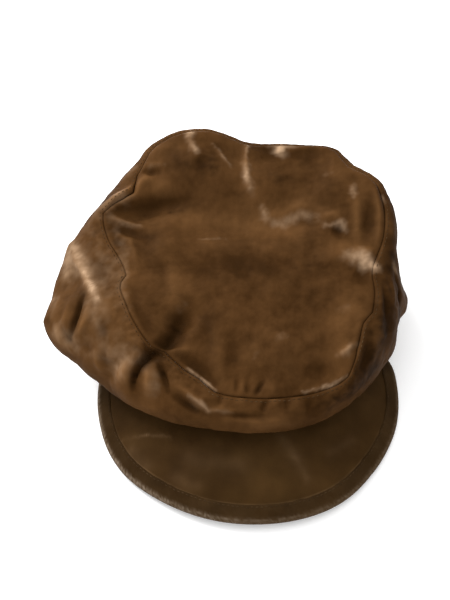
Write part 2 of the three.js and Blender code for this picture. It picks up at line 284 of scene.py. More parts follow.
def woven_grid(columns, rows, face, size, marks, relief=None, closed=True, upright=False):
    """A grid of cloth wrapped over a face, pushed out by its relief, with marks for its dye, its wear
    and its painted light and shade.
    """
    made, flat = flat_grid(columns, rows)
    u, v = (flat[:, 0] + 1) / 2, (flat[:, 1] + 1) / 2
    charted(made, u * size[0], v * size[1])
    shaped(made, pressed(face, relief, u, v, upright), marks(u, v, face(u, v)))
    if closed:
        bmesh.ops.remove_doubles(made, verts=made.verts, dist=SAME_PLACE)
    bmesh.ops.recalc_face_normals(made, faces=made.faces)
    return made


def sewn_piece(name, made, finish, nodes=(), wall=0.0):
    """The finished object of a piece: smooth, as thick as its cloth, and riding on the cap."""
    mesh = bpy.data.meshes.new(name)
    made.to_mesh(mesh)
    made.free()
    mesh.materials.append(finish)
    mesh.polygons.foreach_set("use_smooth", [True] * len(mesh.polygons))
    piece = bpy.data.objects.new(name, mesh)
    bpy.context.scene.collection.objects.link(piece)
    if wall:
        thick = piece.modifiers.new("cloth_wall", "SOLIDIFY")
        thick.thickness = wall * MM
        thick.offset = -1
    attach(piece, "root")
    if nodes:
        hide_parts(*nodes)
    return piece


TWILL_PITCH = 0.8
TWILL_SLANT = 1.6
CROSS_SLANT = 0.3
# Colour of stains and of painted shade, as a share of the dark dye.
SHADE_AND_STAIN_DARKER = 0.35
CLOTH_SHINE = 0.015
SHINE_TINT = (1, 0.76, 0.55, 1)

# Unevenness of the dye, as clouds, blotches and grain: scale, detail and roughness.
DYE_NOISES = ((24, 5, 0.6), (95, 4, 0.65), (520, 3, 0.7))


def dyed_cotton(name, dark, mid, light, pale, rough):
    """Dyed and worn cotton, with light and shade painted into it. It reads three marks of its mesh: one
    for bleached wear and painted highlights, one for stains and painted shade, and one for rubbed
    crests, golden fade and painted light.
    """
    cloth = Finish(name)
    place = cloth.node("ShaderNodeTexCoord", output=3)
    cloud, blotch, grain = [
        cloth.node("ShaderNodeTexNoise", {}, {
            "Vector": place, "Scale": scale, "Detail": detail, "Roughness": broken,
        })
        for scale, detail, broken in DYE_NOISES
    ]
    faded_and_highlit, stained_and_shaded, crest_and_light = [
        cloth.node("ShaderNodeAttribute", {"attribute_name": mark}, output=2)
        for mark in ("faded_and_highlit", "stained_and_shaded", "crest_and_light")
    ]
    uneven = (cloud - 0.5) * 2.2 + 0.5
    patchy = (blotch - 0.5) * 2.2
    body = cloth.blend(uneven.held(), dark, mid)
    # Lighter on crests: rubbed cloth and golden fade, with painted highlights and painted light.
    body = cloth.blend((uneven * 0.22 + patchy * 0.14 + crest_and_light * 0.6).held(), body, light)
    # Paler where the dye is bleached, and where highlights are painted.
    rubbed = (faded_and_highlit + faded_and_highlit * patchy * 0.25 + faded_and_highlit * (grain - 0.5) * 0.35).held()
    body = cloth.blend(rubbed, body, pale)
    # Darker where the cloth is stained, and where shade is painted in creases, hollows and on the
    # shaded side.
    stain_and_shade_colour = (*[SHADE_AND_STAIN_DARKER * c for c in dark[:3]], 1)
    body = cloth.blend((stained_and_shaded * (0.75 + patchy * 0.3)).held(), body, stain_and_shade_colour)
    chart = cloth.node("ShaderNodeUVMap", {"uv_map": "UVMap"})
    across = cloth.node("ShaderNodeSeparateXYZ", {}, {0: chart}, 0)
    along = cloth.node("ShaderNodeSeparateXYZ", {}, {0: chart}, 1)
    turn = math.tau * CHART_UNIT / TWILL_PITCH
    twill = across.math("SINE", across * turn + along * turn * TWILL_SLANT)
    cross = across.math("SINE", across * turn - along * turn * CROSS_SLANT)
    height = twill * 0.09 + cross * 0.04 + grain * 0.5 + blotch * 0.8
    bump = cloth.node("ShaderNodeBump", {}, {"Height": height, "Strength": 0.3, "Distance": 0.0006})
    return cloth.surface({
        "Base Color": body,
        "Roughness": (rough - crest_and_light * 0.1 + (grain - 0.5) * 0.2 - patchy * 0.06).held(),
        "Normal": bump,
        "Specular IOR Level": CLOTH_SHINE,
        "Specular Tint": SHINE_TINT,
    })


BAND_SOOT = 0.15


def band_face(u, v):
    degrees = u * 360
    height = band_lift(degrees) + v * (band_top(degrees) - band_lift(degrees))
    return polar(degrees, head_radius(degrees, BAND_WALL), height)


def band_marks(u, v, places):
    even = np.zeros(len(u))
    return {"faded_and_highlit": even, "stained_and_shaded": even + BAND_SOOT, "crest_and_light": even}


band_cotton = dyed_cotton(
    "band_cotton", (0.035, 0.018, 0.008, 1), (0.062, 0.03, 0.012, 1),
    (0.1, 0.055, 0.024, 1), (0.3, 0.19, 0.11, 1), 0.7,
)
band_bm = woven_grid(columns=240, rows=8, face=band_face, size=(570, 30), marks=band_marks)
head_band_cloth = sewn_piece(
    "head_band_cloth", band_bm, band_cotton, ["head_band"], BAND_WALL,
)

# Side panel of the crown.
# One loop of soft dyed cotton between the top seam and the band. With nothing to hold it up it has
# slumped to the wearer's right, and lies in folds over the band and the peak.

CLOTH_WALL = 1.6
CROWN_OVERHANG = 50  # unit of the panel's reach past the band
SIDE_LEAN = 50  # unit of the seam's distance in from the outer fold
CROWN_RISE = 56  # unit of height above the band's top edge
SEAM_STIFFNESS = 0.4  # leaves the seam outwards
FOLD_STIFFNESS = 0.45  # runs into the outer fold from above
HANG_STIFFNESS = 0.5  # runs on below the outer fold
HEM_STIFFNESS = 0.45  # comes in to the band's top
UNDERTURN = 1.1  # comes up to the band's top where the fold hangs below it
SEAM_HOLD = 0.25  # share of the way from a seam over which it keeps the cloth even
HEM_HOLD = 0.5
BUMP_EDGE = 1.4  # how quickly a dent or a fold dies away
SEAM_RAISED = 1  # how far the roll along the back lifts the seam under it
ROLL_HIGH = 6
ROLL_WIDE = 11
ROLL_STARTS = (14, 40)  # degrees over which the roll grows
ROLL_ENDS = (128, 150)  # degrees over which it is lost again

# Every 15 degrees from the right side over the back: reach, fold up, lean and
# seam up, as shares of the three units above.
SECTION_STEP = 15
SECTIONS = np.array([
    (0.44, 0.3, 0.42, 0.84),
    (0.5, 0.48, 0.26, 0.93),
    (0.61, 0.55, 0.2, 0.98),
    (0.57, 0.54, 0.14, 0.98),
    (0.44, 0.48, 0.1, 0.96),
    (0.26, 0.44, 0.12, 0.95),
    (0.22, 0.42, 0.12, 0.94),
    (0.52, 0.45, 0.14, 1.03),
    (0.68, 0.5, 0.16, 1.0),
    (0.69, 0.52, 0.34, 0.92),
    (0.74, 0.52, 0.3, 0.91),
    (0.88, 0.45, 0.54, 0.89),
    (1.03, 0.34, 0.92, 0.85),
    (1.1, 0.2, 1.03, 0.76),
    (0.76, 0.02, 0.76, 0.62),
    (0.5, -0.06, 0.61, 0.45),
    (0.35, -0.06, 0.55, 0.31),
    (0.23, -0.05, 0.4, 0.2),
    (0.2, -0.05, 0.38, 0.15),
    (0.25, -0.05, 0.35, 0.18),
    (0.28, -0.06, 0.22, 0.26),
    (0.31, -0.08, 0.19, 0.42),
    (0.37, -0.06, 0.36, 0.6),
    (0.44, 0.1, 0.41, 0.75),
])
REACH, FOLD_UP, LEAN, SEAM_UP = range(4)

# How far the seam, and the outer fold below it, stray outwards from that smooth run: the angle
# round the cap in degrees and the distance in millimetres.
SEAM_STRAYS = (
    (30, 0), (36, 1.5), (41, 0.6), (45, -2), (49, -3.4), (53, -0.6), (57, 3.6), (60, 4.6), (64, 3.8),
    (70, 2), (78, 0.8), (88, 0), (120, 0), (126, 2.5),
    (135, 2.5), (139, -2), (142, -6), (147, -4), (153, 1), (156, 3.5), (160, 2), (165, -0.5),
    (173, -3.5), (180, -4.3), (184.5, -4.8), (188, -1), (191, 0), (199, -0.7), (210, 0),
    (222, 1.6), (228, -2), (234, -1), (240, 0), (248, -2), (256, 0.6), (270, 0.3), (298, 1.2),
    (305, 3), (309, 3.3), (314, 0.5), (319, -1.5), (331, -0.4), (337, 3), (343, 1.5), (355, 0),
)
FOLD_STRAYS = (
    (3, 0), (128, 0), (138, 2.4), (150, 2.4), (158, 1), (166, 0), (183, 0), (187, 1.5), (190, 3),
    (193, 1.5), (197, 0), (204, -3.2), (209, -1), (213, 0), (330, 0), (335, 0.8), (341, 2.2),
    (347, 1.6), (351, 1), (355, 3), (359, 2),
)

# Folds that run down the panel: the angle, how far down (1 is the outer fold), the width in
# degrees, the length, the slant in degrees, and how far out, as a share of the overhang.
SIDE_FOLDS = (
    (186, 0.55, 13, 0.2, 0, -0.1),
    (170, 0.65, 6, 0.5, -16, 0.04),
    (153, 0.7, 8, 0.6, 0, -0.05),
    (217, 0.6, 5, 0.6, -6, -0.13),
    (226, 0.6, 4, 0.4, 0, 0.06),
    (235, 0.5, 5, 0.4, 4, -0.06),
    (345, 1.0, 6, 0.7, 6, -0.05),
    (0, 1.25, 7, 0.35, 0, 0.12),
    (12, 1.2, 5, 0.6, 0, -0.1),
    (70, 1.1, 8, 0.8, 0, -0.08),
    (110, 1.2, 9, 0.7, 5, -0.08),
    (200, 1.4, 8, 0.3, 0, -0.07),
)


def section(column, degrees):
    """A column of the sections at any angle, as a smooth closed curve through its rows."""
    rows = len(SECTIONS)
    place = np.mod(degrees / SECTION_STEP, rows)
    first = np.floor(place).astype(int)
    t = place - first
    a, b, c, d = [SECTIONS[(first + k) % rows, column] for k in (-1, 0, 1, 2)]
    bend = 2 * a - 5 * b + 4 * c - d + t * (3 * (b - c) + d - a)
    return b + 0.5 * t * (c - a + t * bend)


def strayed(table, degrees):
    """How far a table of strays reaches out at any angle."""
    return np.interp(np.mod(degrees, 360), *np.array(table, float).T, period=360)


def back_roll(degrees):
    """1 along the back, where the top panel rolls over its edge and hides the seam, to 0."""
    turned = np.mod(degrees, 360)
    return smooth(turned, *ROLL_STARTS) * (1 - smooth(turned, *ROLL_ENDS))


def fold_place(degrees):
    """Radius and height of the outer fold."""
    radius = head_radius(degrees, BAND_WALL) + CROWN_OVERHANG * section(REACH, degrees)
    radius = radius + strayed(FOLD_STRAYS, degrees)
    return radius, band_top(degrees) + CROWN_RISE * section(FOLD_UP, degrees)


def seam_place(degrees, roll=1):
    """Radius and height of the top seam, with or without the roll over it along the back."""
    reach = CROWN_OVERHANG * section(REACH, degrees) - SIDE_LEAN * section(LEAN, degrees)
    radius = head_radius(degrees, BAND_WALL) + reach + strayed(SEAM_STRAYS, degrees)
    height = band_top(degrees) + CROWN_RISE * section(SEAM_UP, degrees)
    return radius, height + SEAM_RAISED * roll * back_roll(degrees)


def swell(u, v):
    """A soft bump: 1 in its middle, and nearly gone where u or v is past 1."""
    return np.exp(-BUMP_EDGE * (u * u + v * v))


def cubic(a, b, c, d, t):
    """A smooth curve from a to d that leaves towards b and comes in from c."""
    s = 1 - t
    return s ** 3 * a + 3 * s * s * t * b + 3 * s * t * t * c + t ** 3 * d


def side_place(degrees, down):
    """The panel's outer face: from the seam (0) over the outer fold (1) to the band's top (2)."""
    seam_r, seam_z = seam_place(degrees)
    fold_r, fold_z = fold_place(degrees)
    hem_r = head_radius(degrees, BAND_WALL + CLOTH_WALL)
    hem_z = band_top(degrees) + SEAM_GAP
    leave = SEAM_STIFFNESS * np.hypot(fold_r - seam_r, fold_z - seam_z)
    fall = FOLD_STIFFNESS * (fold_z - seam_z)
    reach = np.abs(fold_r - hem_r)
    free = np.hypot(reach, np.maximum(0, fold_z - hem_z))
    hang = HANG_STIFFNESS * np.minimum(free, fold_z)
    rise = UNDERTURN * np.maximum(0, hem_z - fold_z)
    t = np.minimum(down, 1)
    w = np.maximum(down - 1, 0)
    radius = np.where(
        down <= 1,
        cubic(seam_r, seam_r + leave, fold_r, fold_r, t),
        cubic(fold_r, fold_r, hem_r + HEM_STIFFNESS * reach, hem_r, w),
    )
    height = np.where(
        down <= 1,
        cubic(seam_z, seam_z, fold_z - fall, fold_z, t),
        cubic(fold_z, fold_z - hang, hem_z - rise, hem_z, w),
    )
    push = 0
    for at, at_down, spread, drop, slant, out in SIDE_FOLDS:
        turned = np.mod(degrees - at - slant * (down - at_down) + 540, 360) - 180
        push = push + out * swell(turned / spread, (down - at_down) / drop)
    hold = smooth(down, 0, SEAM_HOLD) * smooth(2 - down, 0, HEM_HOLD)
    return polar(degrees, radius + CROWN_OVERHANG * push * hold, height)


def side_face(u, v):
    return side_place(u * 360, v * 2)


def near_line(places, line):
    """How far places are from a line of points, and how far along it, from 0 to 1."""
    best = np.full(len(places), 1e9)
    along = np.zeros(len(places))
    parts = len(line) - 1
    for k in range(parts):
        a, b = line[k], line[k + 1]
        span = b - a
        t = np.clip((places - a) @ span / max(span @ span, 1e-9), 0, 1)
        gap = np.linalg.norm(places - a - t[:, None] * span, axis=1)
        nearer = gap < best
        best = np.where(nearer, gap, best)
        along = np.where(nearer, (k + t) / parts, along)
    return best, along


# The lines below were read off the photo, as pixels from its upper left corner. Each one lies
# where the sight line through its pixels meets the cap.
PHOTO_WIDE = 450
PHOTO_HIGH = 600
CAP_MIDDLE = Vector((240, 290))
CROWN_NODES = ("crown_top", "crown_side")
MOST_STEPS = 40
PIXEL_SLOPE = camera_data.sensor_width / camera_data.lens / PHOTO_HIGH
UP_IN_VIEW = Vector((0, math.sin(ELEVATION), math.cos(ELEVATION)))

seen_nodes, seen_corners, seen_faces = [], [], []
for node_name, node in sorted(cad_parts.items()):
    start = len(seen_corners)
    seen_corners += [v.co.copy() for v in node.data.vertices]
    seen_faces += [[start + i for i in f.vertices] for f in node.data.polygons]
    seen_nodes += [node_name] * len(node.data.polygons)
cap_tree = BVHTree.FromPolygons(seen_corners, seen_faces)


def place_seen(pixel, wanted):
    """The place on the wanted nodes that the photo shows at a pixel, or just inside its edge."""
    spot = Vector(pixel)
    for _ in range(MOST_STEPS):
        across = (spot.x - PHOTO_WIDE / 2) * PIXEL_SLOPE
        up = (PHOTO_HIGH / 2 - spot.y) * PIXEL_SLOPE
        sight = Vector((1, 0, 0)) * across + UP_IN_VIEW * up - toward_camera
        hit, _, face, _ = cap_tree.ray_cast(camera.location, sight)
        if hit is not None and seen_nodes[face] in wanted:
            return (hit - HEAD_AXIS) / MM
        spot += (CAP_MIDDLE - spot).normalized()
    raise ValueError(f"the photo shows nothing of {wanted} near {pixel}")


def lines_seen(table, wanted):
    """A table of lines, with their pixels turned into places on the cap."""
    return [
        (wide, strength, np.array([place_seen(pixel, wanted) for pixel in line]))
        for wide, strength, *line in table
    ]


# Folds and puffs of both crown panels: half width and height in millimetres, and the line.
CROWN_FOLDS = lines_seen((
    (2.2, 1.8, (146, 366), (147, 378), (150, 392)),  # puff between the folds, its crown
    (1.6, -2.4, (137, 363), (133, 374), (134, 388)),  # dark edge left of it
    (2, 1.5, (126, 366), (127, 378), (130, 388)),  # rim of the puff left of the folds
    (2, -1.6, (176, 400), (190, 408), (204, 415)),  # crease under the front puff
    (3, 1.5, (226, 420), (262, 424), (296, 421)),  # roll along the front's lower edge
    (2, -1.4, (222, 414), (244, 417), (270, 417)),  # crease over that roll
    (2.6, -1.6, (108, 345), (104, 358), (110, 370)),  # lower left dip, its fold
    (2.2, 1.3, (96, 352), (98, 364), (104, 374)),  # lower left ridge
    (1.8, -1.8, (393, 268), (396, 284), (398, 300), (397, 316)),  # knob's edge
    (2.2, -2.2, (384, 286), (386, 304), (385, 322)),  # right wall's upright crease
    (1.8, 1.4, (390, 276), (392, 292), (391, 312)),  # right wall's upright ridge
    (2.2, -2, (60, 322), (64, 334), (70, 346)),  # left outer crease
    (4.5, 4, (146, 184), (131, 193), (118, 199), (104, 208)),  # side cloth over the seam
    (3, 1.2, (364, 318), (359, 345), (350, 372)),  # shoulder over the right side wall
    (5, -2.5, (372, 335), (366, 360), (355, 380)),  # right side wall, drawn in
    (5, 1.2, (250, 420), (300, 415)),  # broad front puff
    (4, -1.2, (318, 400), (312, 420)),  # dip beside it
    (1.7, -3.4, (158, 350), (147, 357), (138, 365), (134, 376)),  # main fold's crease
    (1.6, -2.6, (138, 366), (134, 378), (133, 390)),  # main fold's end
    (5, -3, (109, 211), (126, 208), (146, 207), (170, 208)),  # left hollow's upper edge
    (2.2, 1.6, (112, 216), (128, 223), (150, 229)),  # ridge in the left hollow
    (3.2, -1.6, (114, 225), (128, 233), (152, 239)),  # hollow under it
    (2.5, 1.2, (119, 235), (130, 240), (135, 252), (137, 270)),  # small ridge
    (4, -1.3, (115, 237), (124, 248)),  # three-cornered dip
    (3.5, -1.4, (131, 287), (139, 310), (151, 334)),  # dip along the left seam
    # main fold over the seam
    (5, -5, (187, 300), (182, 322), (174, 338), (160, 349), (146, 358), (137, 367), (133, 386)),
    (2.6, 2, (160, 352), (174, 351), (194, 350)),  # lip right of the main fold
    (1.8, -3.4, (159, 363), (163, 375), (168, 391)),  # second fold
    (4.5, 2.6, (150, 368), (151, 380), (149, 396)),  # puff between the folds
    (6, 2.2, (126, 358), (124, 370), (118, 382)),  # puff left of the folds
    (4, -2.6, (178, 356), (195, 365), (214, 385)),  # dark wedge
    (1.8, 1.5, (186, 368), (204, 380), (216, 392)),  # lifted seam edge, left
    (2.2, 2.2, (172, 384), (187, 392), (200, 402), (208, 411)),  # front puff
    (2, 1.4, (208, 411), (222, 410), (238, 414)),  # front puff, going on
    (3, -1.5, (166, 393), (182, 401), (196, 411)),  # under the front puff
    # small puckers on both sides of the front seam, and the lumps between them
    (1.8, -1.3, (237, 377), (237, 397)),
    (1.8, -1.3, (248, 378), (247, 398)),
    (1.8, -1.9, (263, 380), (255, 398)),
    (1.8, -2.2, (267, 399), (262, 413)),
    (1.5, -1.4, (288, 396), (287, 412)),
    (1.8, -1.5, (312, 399), (307, 412)),
    (1.5, -1, (222, 392), (219, 406)),
    (3, 1, (243, 382), (242, 410)),
    (3, 1.2, (272, 384), (276, 410)),
    (3, 0.9, (299, 388), (299, 410)),
    # the left side, the back, the right side and the middle
    (2, -4.6, (83, 297), (77, 314), (69, 341)),  # long left crease
    (2.6, 2, (92, 300), (86, 318), (77, 341)),  # right of the left crease
    (3, 1.6, (73, 298), (66, 318), (60, 338)),  # left of the left crease
    (3.4, 3, (71, 245), (80, 266), (88, 284), (97, 299)),  # bright left ridge
    (6, -1.2, (92, 250), (102, 275), (112, 296)),  # hollow right of it
    (1.6, 1.4, (60, 298), (58, 309), (54, 317)),  # small crescent
    (2.4, -2.2, (49, 321), (53, 324)),  # small dent
    (1.4, 0.9, (98, 305), (88, 320), (78, 336)),  # thin left line
    (4, -1.4, (102, 318), (104, 340)),  # lower left dips
    (4, -1.2, (84, 340), (90, 356)),
    (2.6, -2.6, (142, 173), (151, 177), (158, 177)),  # dimple
    (1.8, 1.1, (143, 169), (166, 170)),  # over the dimple
    (3, 1, (140, 184), (156, 186)),  # under the dimple
    (1.6, 1.3, (212, 149), (222, 160), (232, 173)),  # thin ridge behind
    (2.4, 1.9, (247, 141), (246, 165), (249, 190)),  # pale ridge behind
    (3, 1.5, (190, 134), (190, 144), (196, 160)),  # pale ridge, left end
    (4.5, -1.6, (206, 158), (200, 172)),  # dip beside it
    (4, -2.2, (250, 149), (266, 153), (282, 162)),  # back dip
    (2, 1.1, (258, 146), (280, 147), (302, 149)),  # over the back dip
    (4, -1.8, (288, 160), (305, 157), (323, 156)),  # back right dip
    (5, 1.5, (262, 204), (268, 219), (281, 219), (300, 210), (320, 214)),  # wavy ridge
    (3, 1.3, (318, 221), (334, 217), (346, 226)),  # wavy ridge, right end
    (4.5, -2.4, (331, 229), (346, 233)),  # dark pocket
    (6, 3, (350, 250), (363, 254), (375, 257)),  # bright right puff
    (6, -1.6, (352, 272), (372, 278)),  # dip below it
    (3, 1.2, (357, 192), (357, 236)),  # upright ridge
    (4, -1.6, (367, 200), (368, 236)),  # upright dip
    (3, 2, (376, 188), (381, 215), (379, 250)),  # ridge right of it
    (2.4, 0.9, (353, 188), (352, 201)),  # small pale ridge
    (2.6, 2.2, (338, 358), (347, 351), (356, 344)),  # front right ridge
    (1.8, 1.5, (303, 392), (322, 388), (336, 382), (349, 375)),  # lifted seam edge, right
    (4, -1.2, (300, 372), (330, 372)),  # dip over the front right seam
    (5, -4, (385, 312), (388, 335)),  # right hollow
    (2.4, 2.2, (380, 298), (379, 330)),  # right ridges
    (2.2, 2.2, (392, 303), (396, 330)),
    (2.2, 1.6, (378, 334), (392, 342)),
    (2, -3, (397, 288), (398, 302)),  # knob's creases
    (1.8, -2, (394, 305), (398, 318)),
    (6, -1, (208, 308), (208, 336)),  # middle dips and ridges
    (4, 0.9, (215, 330), (222, 382)),
    (5, -1.2, (230, 338), (235, 376)),
    (4, 0.8, (250, 344), (262, 352)),
    (4, 0.9, (262, 330), (278, 337), (292, 342)),
    (7, 0.9, (160, 243), (230, 242), (300, 248)),  # across the middle
    (9, -0.9, (165, 262), (240, 262), (310, 262)),  # below it
    (5, 0.9, (172, 262), (174, 298)),  # left middle ridge
    (5, 1.4, (150, 195), (175, 192)),  # back left ridge
), CROWN_NODES)

# Places where the dye is bleached, together with painted highlights on lit ridges and puffs; where it
# has turned golden, together with painted light on the lit left wall; and where it is dark and stained,
# together with painted shade in creases and hollows, along the lower front and on the shaded right
# side: half width in millimetres, strength, and the line.
PALE_WEAR_AND_HIGHLIGHTS = lines_seen((
    (3.2, 0.95, (190, 133), (189, 141)),
    (3, 0.6, (192, 148), (196, 158)),
    (1.6, 0.35, (247, 143), (247, 163)),
    (2.4, 0.6, (246, 168), (246, 180), (249, 190)),
    (4.2, 1.1, (279, 149), (282, 158)),
    (3, 0.35, (268, 149), (300, 149)),
    (2.6, 0.4, (263, 208), (266, 219)),
    (4.2, 0.34, (262, 220), (282, 226), (300, 218), (318, 220)),
    (2.4, 0.55, (325, 226), (340, 224), (347, 232)),
    (2.6, 0.4, (353, 190), (353, 201)),
    (3.2, 0.95, (360, 257), (368, 262), (375, 269)),
    (5, 0.4, (350, 255), (360, 258), (372, 266)),
    (7, 0.14, (340, 256), (356, 257)),
    (3, 0.42, (338, 357), (356, 345)),
    (4.6, 0.55, (73, 248), (80, 262), (86, 278)),
    (1.7, 1.15, (83, 268), (90, 284), (98, 300)),
    (8, 0.3, (74, 240), (72, 268)),
    (13, 0.13, (100, 235), (104, 300)),
    (6, 0.3, (67, 250), (65, 282)),
    (7, 0.2, (54, 320), (60, 335), (70, 350)),
    (11, 0.2, (98, 350), (122, 354), (144, 358)),
    (9, 0.18, (90, 296), (95, 312), (100, 332)),
    (7, 0.08, (238, 160), (248, 188), (254, 208)),
    (6, 0.12, (184, 296), (178, 318)),
    (5, 0.25, (110, 203), (132, 196)),
    (4, 0.1, (178, 401), (206, 413)),
    (7, 0.08, (180, 362), (200, 384)),
    (5, 0.14, (116, 224), (123, 250), (122, 285), (128, 320)),
    (3, 0.3, (392, 260), (397, 276)),
    (8, 0.3, (122, 362), (118, 372)),
    (6, 0.3, (152, 378), (154, 390)),
    (1.5, 0.5, (188, 394), (200, 402), (208, 411)),
    (1.6, 0.22, (208, 411), (234, 413)),
    (1.1, 0.7, (188, 369), (205, 381), (216, 391)),
    (1.1, 0.6, (303, 392), (322, 389), (336, 383), (348, 376)),
    (1.6, 0.3, (213, 150), (222, 160), (231, 172)),
    (1.8, 0.4, (59, 300), (54, 316)),
    (4, 0.3, (54, 298), (53, 304)),
    (6, 0.12, (270, 335), (292, 340)),
    (6, 0.1, (250, 352), (262, 356)),
    (1.6, 0.2, (198, 239), (226, 241)),
    (6, 0.12, (320, 178), (336, 178)),
    (2, 0.25, (378, 190), (386, 208)),
    (9, 0.1, (338, 320), (350, 300)),
    (7, 0.16, (120, 180), (140, 165)),
    (4, 0.16, (392, 303), (396, 330)),
    (2.4, 0.2, (380, 300), (379, 330)),
    (9, 0.16, (110, 200), (90, 225)),
    (2.2, 0.2, (144, 170), (166, 170)),
    (2.4, 0.2, (113, 217), (128, 224), (148, 229)),
    (9, 0.14, (60, 330), (80, 352)),
), CROWN_NODES)

# Golden fade, and painted light that makes the lit left wall paler.
GOLDEN_FADE_AND_LIGHT = lines_seen((
    (10, 0.5, (92, 262), (104, 300), (112, 330)),
    (8, 0.4, (56, 300), (58, 330)),
    (8, 0.6, (150, 222), (200, 220), (250, 224), (300, 230)),
    (7, 0.15, (190, 405), (220, 416), (250, 422)),
    (9, 0.6, (96, 350), (120, 354), (146, 358)),
    (7, 0.6, (54, 318), (60, 336), (72, 352)),
    (6, 0.5, (108, 204), (120, 200), (134, 196)),
    (7, 0.5, (237, 152), (246, 178), (252, 205)),
    (8, 0.5, (184, 292), (178, 318)),
    (6, 0.45, (118, 222), (125, 250), (124, 290), (130, 330)),
    (6, 0.5, (362, 195), (359, 240)),
    (4, 0.5, (176, 401), (204, 413)),
    (7, 0.3, (322, 330), (345, 322), (352, 300)),
    (9, 0.2, (243, 196), (250, 216), (256, 236)),
    (8, 0.35, (262, 216), (300, 206), (344, 220)),
    (9, 0.3, (340, 316), (352, 296)),
    (8, 0.4, (336, 354), (350, 344)),
    (7, 0.18, (262, 338), (296, 344)),
    (8, 0.3, (238, 354), (266, 356)),
    (7, 0.08, (211, 336), (220, 380)),
    (6, 0.3, (172, 262), (174, 298)),
    (9, 0.3, (320, 256), (352, 254)),
    (10, 0.14, (300, 176), (344, 180)),
    (6, 0.45, (145, 152), (180, 150)),
    (9, 0.45, (66, 262), (62, 290)),
    (9, 0.4, (80, 330), (96, 340)),
    (7, 0.5, (112, 372), (126, 382)),
    (4, 0.2, (262, 424), (296, 421)),
    (5, 0.45, (374, 330), (378, 350)),
    (5, 0.45, (388, 215), (391, 245)),
), CROWN_NODES)

# Stains, and painted shade in the creases and hollows, along the lower front and on the shaded right
# side.
DARK_STAINS_AND_SHADE = lines_seen((
    (9, 0.4, (300, 406), (330, 402), (356, 388)),
    (7, 0.3, (180, 404), (230, 418), (280, 418)),
    (3, 0.8, (391, 268), (396, 286), (398, 304), (397, 318)),
    (6, 0.5, (380, 345), (372, 362), (362, 380)),
    (2, 0.7, (137, 363), (133, 374), (134, 388)),
    (7, 0.4, (389, 210), (391, 250), (389, 290)),
    (2.2, 0.45, (176, 400), (190, 408), (204, 415)),
    (8, 0.35, (262, 178), (282, 184), (300, 186)),
    (10, 0.3, (176, 172), (200, 166), (226, 168)),
    (12, 0.25, (330, 300), (300, 310)),
    (8, 0.3, (160, 285), (175, 300)),
    (9, 0.6, (386, 290), (386, 320), (384, 345)),
    (7, 0.55, (371, 330), (366, 360), (352, 384), (338, 396)),
    (8, 0.75, (388, 352), (376, 368), (350, 392), (324, 410)),
    (5, 0.4, (381, 296), (385, 342)),
    (7, 0.35, (152, 240), (164, 250)),
    (7, 0.35, (204, 246), (250, 243), (300, 242)),
    (8, 0.4, (172, 150), (184, 176)),
    (6, 0.35, (214, 165), (216, 182)),
    (7, 0.35, (290, 168), (340, 168)),
    (5, 0.35, (350, 182), (357, 188)),
    (5, 0.3, (248, 422), (292, 410)),
    (6, 0.35, (240, 404), (272, 384)),
    (5, 0.4, (211, 330), (213, 352), (219, 380)),
    (6, 0.3, (284, 356), (294, 376)),
    (6, 0.3, (258, 290), (284, 294)),
    (6, 0.6, (120, 224), (146, 218), (176, 213), (196, 206)),
    (10, 0.5, (190, 168), (220, 172)),
    (3.4, 0.9, (178, 330), (168, 344), (152, 354), (138, 366), (133, 384)),
    (9, 0.45, (172, 320), (180, 335)),
    (1.9, 0.8, (159, 363), (163, 375), (168, 391)),
    (10, 0.35, (178, 338), (163, 355)),
    (5, 0.5, (377, 290), (377, 331)),
    (13, 0.3, (160, 262), (225, 268), (307, 266)),
    (2.4, 0.9, (83, 298), (76, 316), (69, 340)),
    (4.5, 0.5, (180, 358), (197, 367), (213, 384)),
    (6, 0.4, (236, 350), (236, 372)),
    (5, 0.6, (331, 228), (346, 232)),
    (10, 0.35, (262, 180), (290, 180)),
    (7, 0.4, (290, 158), (322, 157)),
    (4, 0.4, (366, 205), (368, 236)),
    (4, 0.5, (392, 200), (391, 300)),
    (6, 0.6, (385, 312), (386, 334)),
    (3, 0.8, (397, 288), (399, 304)),
    (1.8, 0.5, (263, 381), (256, 396)),
    (1.8, 0.6, (267, 400), (262, 413)),
    (5, 0.3, (245, 194), (235, 205)),
    (7, 0.35, (206, 310), (208, 330)),
    (6, 0.3, (102, 322), (104, 338)),
    (5, 0.25, (70, 300), (78, 298)),
    (2, 0.6, (49, 321), (53, 324)),
    (4, 0.45, (128, 231), (150, 238)),
    (5, 0.35, (152, 177), (146, 174)),
    (8, 0.3, (370, 330), (362, 370)),
    (14, 0.25, (250, 270), (330, 262)),
    (8, 0.3, (300, 360), (330, 365)),
    (5, 0.3, (270, 152), (255, 150)),
    (3, 0.35, (356, 330), (354, 360)),
), CROWN_NODES)


FOLD_END = 0.06
STAIN_END = 0.1
STAIN_TAIL = 1.6

# The cloth between the named folds is uneven too, with soft dents, small crumples and fine lines
# that run fore and aft: height, size, octaves, seed, and how it is drawn out along each axis.
WRINKLES = (
    (0.45, 16, 3, 0, (1, 1, 1)),
    (0.2, 5.5, 2, 20, (1, 1, 1)),
    (0.13, 4.5, 2, 30, (1, 0.22, 0.5)),
)

# How far the edges of wear, stains and painted light and shade wander, and over what size. The seed
# keeps them the same in every run, because noise_vector otherwise differs from run to run.
WANDERS = ((1.7, 11), (0.9, 2.6))
WANDER_SEED = 7
noise.seed_set(WANDER_SEED)


def faded_ends(along, end, power):
    """1 along the middle of a line, and less towards its two ends."""
    return np.sin(np.pi * np.clip(along, end, 1 - end)) ** power


def fold_heights(places):
    """The heights of the folds and puffs at places on the cap, added up."""
    total = np.zeros(len(places))
    for wide, high, line in CROWN_FOLDS:
        gap, along = near_line(places, line)
        total += high * np.exp(-((gap / wide) ** 2)) * faded_ends(along, FOLD_END, 0.7)
    return total


